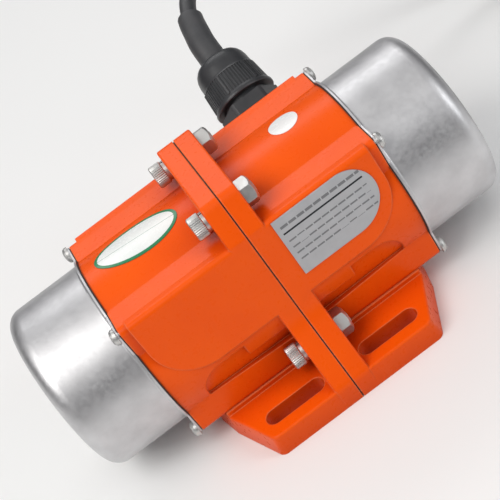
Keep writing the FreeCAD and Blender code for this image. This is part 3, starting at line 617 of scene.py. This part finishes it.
def settle(made, turn, smoothAngle, body, material):
    # moves a finished piece's mesh to its place and leaves the object at the origin
    made.matrix_world = turn
    selectOnly(made)
    bpy.ops.object.transform_apply(location=True, rotation=True, scale=True)
    bpy.ops.object.shade_smooth_by_angle(angle=math.radians(smoothAngle))
    dress(made, material)
    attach(made, body)


def placeCopies(first, name, s, node):
    # a copy at each flange bolt, facing along the shaft
    for index, (across, up) in enumerate(boltPlaces):
        piece = first.copy()
        piece.data = first.data.copy()
        piece.name = name + str(index + 1)
        scene.collection.objects.link(piece)
        place = Matrix.Translation((s["seat"], across, up))
        facing = Matrix.Rotation(math.radians(s["side"]), 4, "Y")
        turned = Matrix.Rotation(math.radians(s["turns"][index]), 4, "Z")
        settle(piece, place @ facing @ turned, s["smooth"], "housing",
               materials["brightSteel"])
        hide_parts(node)
    bpy.data.objects.remove(first)


# ---- cable: one spline from the gland to the bare end, with its put-away coil

cable = {
    "diameter": 0.0086,
    "length": 1.01,
    "exit": (0.041, 0.06931, 0.089178),
    "route": [
        (0.041, 0.06931, 0.089178), (0.041, 0.08799, 0.10226), (0.04244, 0.09560, 0.10520),
        (0.0446, 0.1070, 0.1096),
        (0.0506, 0.12109, 0.11182), (0.0597, 0.13349, 0.10979), (0.0713, 0.14219, 0.10457),
        (0.0845, 0.14599, 0.09742), (0.1150, 0.14399, 0.07198), (0.1360, 0.13999, 0.0540),
        (0.1580, 0.13699, 0.03698), (0.1810, 0.13199, 0.02354), (0.2050, 0.12549, 0.01551),
        (0.2280, 0.11899, 0.0130),
    ],
    "coilMiddle": (0.240, 0.06999),
    "coilStart": 75,        # degrees, seen from above; the turns run clockwise
    "coilTurn": 885,        # degrees from the first turn to the tail
    "narrows": (200, 310),  # degrees along the coil between which it goes inward,
    "widens": (528, 640),   # outward
    "sinks": (250, 345),    # and down to the floor
    "topRadius": 0.044,
    "innerRadius": 0.0393,
    "outerRadius": 0.0483,
    "topHeight": 0.0129,
    "floorHeight": 0.0043,
    "step": 24,             # degrees between two points of a turn
    "tail": 0.034,
}


def eased(value, start, end):
    part = min(1.0, max(0.0, (value - start) / (end - start)))
    return part * part * (3 - 2 * part)


def coilPoints(c):
    points = []
    # the spline runs inside its points
    spreadOut = 1 / math.cos(math.radians(c["step"] / 2))
    middle = c["coilMiddle"]
    count = round(c["coilTurn"] / c["step"])
    for index in range(count + 1):
        turned = c["coilTurn"] * index / count
        inward, outward, down = (eased(turned, *c[part]) for part in ("narrows", "widens", "sinks"))
        radius = c["topRadius"] + (c["innerRadius"] - c["topRadius"]) * inward
        radius += (c["outerRadius"] - c["innerRadius"]) * outward
        height = c["topHeight"] + (c["floorHeight"] - c["topHeight"]) * down
        angle = math.radians(c["coilStart"] - turned)
        points.append((middle[0] + radius * spreadOut * math.cos(angle),
                       middle[1] + radius * spreadOut * math.sin(angle), height))
    return points


def splineObject(name, points):
    curve = bpy.data.curves.new(name, "CURVE")
    curve.dimensions = "3D"
    spline = curve.splines.new("NURBS")
    spline.points.add(len(points) - 1)
    for point, place in zip(spline.points, points):
        point.co = (*place, 1)
    spline.order_u = 3
    spline.use_endpoint_u = True
    spline.resolution_u = 10
    made = bpy.data.objects.new(name, curve)
    scene.collection.objects.link(made)
    return made


def addCable(c):
    middle = c["coilMiddle"]
    rim = middle[1] - c["outerRadius"]
    tail = [(middle[0] - c["tail"] * part, rim, c["floorHeight"]) for part in (0.5, 1)]
    made = splineObject("powerCable", c["route"] + coilPoints(c) + tail)
    made.data.bevel_depth = c["diameter"] / 2
    made.data.bevel_resolution = 6
    made.data.use_fill_caps = True
    made.data.materials.append(materials["blackCable"])
    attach(made, "housing")
    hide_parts("cable", "cable_coil", "cable_tail")
    return made


def splineLine(made, reach):
    # places on the cable's own line, out to a distance along it
    bare = made.copy()
    bare.data = made.data.copy()
    bare.data.bevel_depth = 0
    scene.collection.objects.link(bare)
    bpy.context.view_layer.update()
    graph = bpy.context.evaluated_depsgraph_get()
    line = bpy.data.meshes.new_from_object(bare.evaluated_get(graph))
    places = [vertex.co.copy() for vertex in line.vertices]
    bpy.data.objects.remove(bare)
    bpy.data.meshes.remove(line)
    start = Vector(cable["exit"])
    if (places[0] - start).length > (places[-1] - start).length:
        places.reverse()
    kept, gone = [places[0]], 0.0
    for place in places[1:]:
        gone += (place - kept[-1]).length
        kept.append(place)
        if gone > reach:
            break
    return kept


powerCable = addCable(cable)


# ---- sleeve: a thick tapered jacket over the first of the cable, cut off square

sleeve = {
    "reach": 0.043,
    "startRadius": 0.0070,
    "endRadius": 0.0065,
    "wall": 0.0021,
    "edge": 0.0004,
    "edgeAngle": 50,
    "smooth": 40,           # degrees up to which an edge is shaded smooth
}


def addSleeve(s):
    places = splineLine(powerCable, s["reach"])
    made = splineObject("cableSleeve", places)
    for index, point in enumerate(made.data.splines[0].points):
        share = index / (len(places) - 1)
        point.radius = 1 + (s["endRadius"] / s["startRadius"] - 1) * share
    made.data.bevel_depth = s["startRadius"]
    made.data.bevel_resolution = 8
    made.data.splines[0].resolution_u = 2
    selectOnly(made)
    bpy.ops.object.convert(target="MESH")
    wall = made.modifiers.new("wall", "SOLIDIFY")
    wall.thickness = s["wall"]
    wall.offset = -1
    applyModifiers(made)
    softenEdges(made, s["edge"], s["edgeAngle"])
    bpy.ops.object.mode_set(mode="EDIT")
    bpy.ops.mesh.select_all(action="SELECT")
    bpy.ops.mesh.normals_make_consistent(inside=False)
    bpy.ops.object.mode_set(mode="OBJECT")
    settle(made, Matrix.Identity(4), s["smooth"], "housing",
           materials["blackSleeve"])
    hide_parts("cable_sleeve")
    return made


cableSleeve = addSleeve(sleeve)
print("cable laid")


# ---- gland nut: flared rim, panels of fine ribs, smooth collar and dome

glandNut = {
    "origin": (0.041, 0.049487, 0.075298),  # middle of the cable boss's face
    "tilt": 35.0,           # degrees above level
    "segments": 240,
    "panels": 6,
    "ribSegments": 4,       # from one rib to the next
    "ridgeSegments": 4,     # smooth strip between two panels
    "groove": 0.00042,
    "ridge": 0.00035,
    "profile": [
        (0.0105, 0.0162), (0.0110, 0.0165), (0.0122, 0.0165), (0.0128, 0.01618), (0.0134, 0.0159),
        (0.0246, 0.0149), (0.0250, 0.0147), (0.0254, 0.0144), (0.0262, 0.0143), (0.0300, 0.0141),
        (0.0325, 0.0136), (0.0345, 0.0127), (0.0360, 0.0114), (0.0368, 0.0099), (0.0370, 0.0086),
        (0.0366, 0.0077), (0.0358, 0.0073), (0.0300, 0.00725), (0.0270, 0.0090), (0.0235, 0.01225),
        (0.0108, 0.01225),
    ],
    "ribbed": (0.0136, 0.0245),
    "insideOf": 0.0138,     # no rib lies nearer to the gland's axis
    "turn": 8.0,            # degrees that the panels are turned on the gland
    "smooth": 32,
}


def addGlandNut(g):
    profile = g["profile"]
    made = ringOf("glandNut", g["segments"], profile[0][1], profile[0][0])
    drawProfile(profile)
    closeProfile()
    step = 2 * math.pi / g["segments"]
    perPanel = g["segments"] // g["panels"]
    low, high = g["ribbed"]

    def column(centre):
        return int((math.atan2(centre.y, centre.x) % (2 * math.pi)) / step) % perPanel

    def onSide(centre):
        return low < centre.z < high and math.hypot(centre.x, centre.y) > g["insideOf"]

    def inGroove(centre):
        place = column(centre)
        inPanel = place >= g["ridgeSegments"] and place % g["ribSegments"] < g["ribSegments"] / 2
        return onSide(centre) and inPanel

    def onRidge(centre):
        return onSide(centre) and column(centre) < g["ridgeSegments"] - 1

    for wanted, depth in ((inGroove, -g["groove"]), (onRidge, g["ridge"])):
        pickFaces(made, wanted)
        bpy.ops.mesh.extrude_region_shrink_fatten(TRANSFORM_OT_shrink_fatten={"value": depth})
    bpy.ops.object.mode_set(mode="OBJECT")
    lean = Matrix.Rotation(-math.radians(90 - g["tilt"]), 4, "X")
    turned = Matrix.Rotation(math.radians(g["turn"]), 4, "Z")
    place = Matrix.Translation(g["origin"]) @ lean @ turned
    settle(made, place, g["smooth"], "housing", materials["blackNylon"])
    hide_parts("gland_nut")


addGlandNut(glandNut)
print("gland nut made")


# ---- flange screws: cap screws with knurled heads and a hexagon socket

# across and up from the middle of the motor's underside
boltPlaces = [(-0.02468, 0.1001), (0.02468, 0.1001), (-0.0450, 0.0240), (0.0450, 0.0240)]

capScrew = {
    "seat": -0.0109,        # underside of the head, along the shaft
    "headRadius": 0.0057,
    "headHeight": 0.0060,
    "knurls": 36,
    "knurlDepth": 0.94,
    "knurlsFrom": 0.0006,   # above the seat
    "knurlsTo": 0.0008,     # below the top
    "under": [(0.0003, 0.985), (0.0, 0.96)],  # above the seat, and how far each step grows
    "over": [(0.0005, 0.985), (0.0002, 0.955), (0.0, 0.90), (0.0, 0.70)],  # below the top
    "neck": 0.93,           # share of the head's radius that the last step under it has
    "socketFlat": 0.0050,
    "socketDepth": 0.0030,
    "threadRadius": 0.0030,
    "reach": 0.0270,        # from the seat to the tip
    "tip": (0.0005, 0.84),  # its chamfer's height, and how far it grows
    "side": -90,            # degrees from upright to facing along the shaft
    "turns": (0, 17, 34, 51),    # degrees that each screw stands turned
    "smooth": 35,
}


def pickVertices(made, wanted):
    bpy.ops.mesh.select_all(action="DESELECT")
    bpy.ops.object.mode_set(mode="OBJECT")
    for vertex in made.data.vertices:
        vertex.select = wanted(vertex.co)
    bpy.ops.object.mode_set(mode="EDIT")


def drawFrom(made, level, steps):
    pickVertices(made, lambda place: abs(place.z - level) < 1e-6)
    for height, grow in steps:
        growTo(height, level, grow)
        level = height


def addSocketCutter(s):
    bpy.ops.object.select_all(action="DESELECT")
    bpy.ops.mesh.primitive_cylinder_add(vertices=6, radius=s["socketFlat"] / math.sqrt(3),
                                        depth=2 * s["socketDepth"], location=(0, 0, s["headHeight"]))
    cutter = bpy.context.active_object
    cutter.name = "socketCutter"
    return cutter


def addCapScrew(s):
    head, height = s["headRadius"], s["headHeight"]
    low, high = s["knurlsFrom"], height - s["knurlsTo"]
    made = ringOf("capScrew", s["knurls"] * 2, head, low)
    drawProfile([(low, head), (high, head)])
    step = math.pi / s["knurls"]
    pickVertices(made, lambda place: round(math.atan2(place.y, place.x) / step) % 2 == 0)
    bpy.ops.transform.resize(value=(s["knurlDepth"], s["knurlDepth"], 1), center_override=(0, 0, 0))
    drawFrom(made, high, [(height - below, grow) for below, grow in s["over"]])
    bpy.ops.mesh.edge_face_add()
    drawFrom(made, low, s["under"] + [(0.0, s["threadRadius"] / (head * s["neck"]))])
    chamfer, grow = s["tip"]
    bpy.ops.mesh.extrude_region_move(TRANSFORM_OT_translate={"value": (0, 0, chamfer - s["reach"])})
    growTo(-chamfer, 0, grow)
    bpy.ops.mesh.edge_face_add()
    bpy.ops.mesh.select_all(action="SELECT")
    bpy.ops.mesh.normals_make_consistent(inside=False)
    bpy.ops.object.mode_set(mode="OBJECT")
    combine(made, addSocketCutter(s), "DIFFERENCE")
    return made


placeCopies(addCapScrew(capScrew), "capScrew", capScrew, "flange_screws")
print("flange screws made")


# ---- flange nuts: hexagon nuts with a domed crown

flangeNut = {
    "seat": 0.0093,
    "flat": 0.0120,
    "height": 0.0064,
    "dome": [(0.0, 0.0066), (0.0006, 0.0072), (0.0042, 0.0072), (0.0052, 0.0066),
             (0.0059, 0.0057), (0.0064, 0.0047)],
    "domeSegments": 72,
    "boreRadius": 0.00303,
    "boreSegments": 48,
    "past": 0.001,          # how far the bore's cutter stands out at each end
    "edge": 0.00022,
    "edgeAngle": 25,
    "side": 90,
    "turns": (8, 31, -12, 19),   # degrees that each nut stands turned
    "smooth": 30,
}


def addFlangeNut(n):
    lens = ringOf("nutDome", n["domeSegments"], n["dome"][0][1], n["dome"][0][0])
    drawProfile(n["dome"])
    closeEnds()
    corner = n["flat"] / math.sqrt(3)
    made = ringOf("flangeNut", 6, corner, 0)
    drawProfile([(0, corner), (n["height"], corner)])
    closeEnds()
    combine(made, lens, "INTERSECT")
    bore = ringOf("nutBore", n["boreSegments"], n["boreRadius"], -n["past"])
    drawProfile([(-n["past"], n["boreRadius"]), (n["height"] + n["past"], n["boreRadius"])])
    closeEnds()
    combine(made, bore, "DIFFERENCE")
    softenEdges(made, n["edge"], n["edgeAngle"])
    return made


placeCopies(addFlangeNut(flangeNut), "flangeNut", flangeNut, "flange_nuts")
print("flange nuts made")
